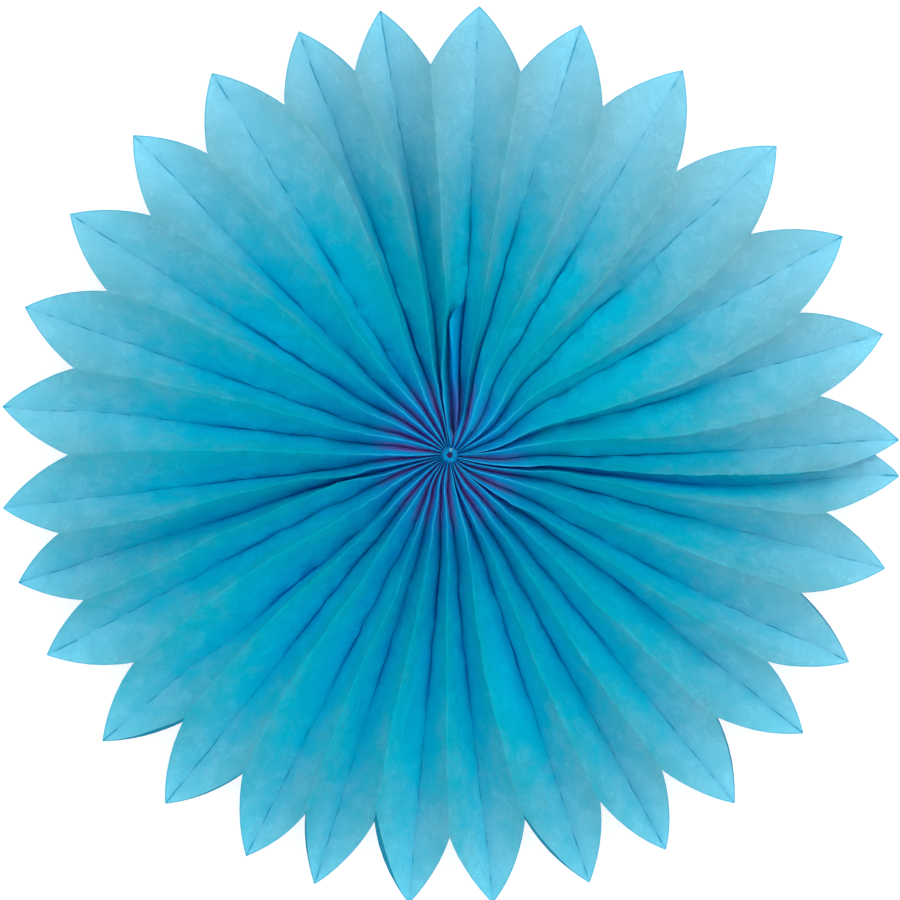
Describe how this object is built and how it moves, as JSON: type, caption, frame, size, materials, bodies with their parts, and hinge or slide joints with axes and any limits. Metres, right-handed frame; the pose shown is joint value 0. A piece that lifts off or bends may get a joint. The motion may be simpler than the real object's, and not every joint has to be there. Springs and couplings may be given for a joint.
{
  "type": "paper fan rosette",
  "caption": "Round rosette pleated from one strip of tissue paper, its rim cut to pointed petals, its folds gathered round a small centre hole.",
  "frame": {"origin": "middle of the centre hole, at the back of the rosette, on the plane that its back folds lie on", "axes": "+Z out of the face along the centre hole; +X and +Y in the plane of the rosette, with the pasted joint towards +X"},
  "size_m": [0.4047, 0.4048, 0.024],
  "materials": {
    "tissue": "matt thin tissue, dyed turquoise blue",
    "thread": "undyed sewing thread"
  },
  "bodies": {
    "root": {"pleated_paper": "tissue", "gather_thread": "thread"}
  },
  "joints": []
}
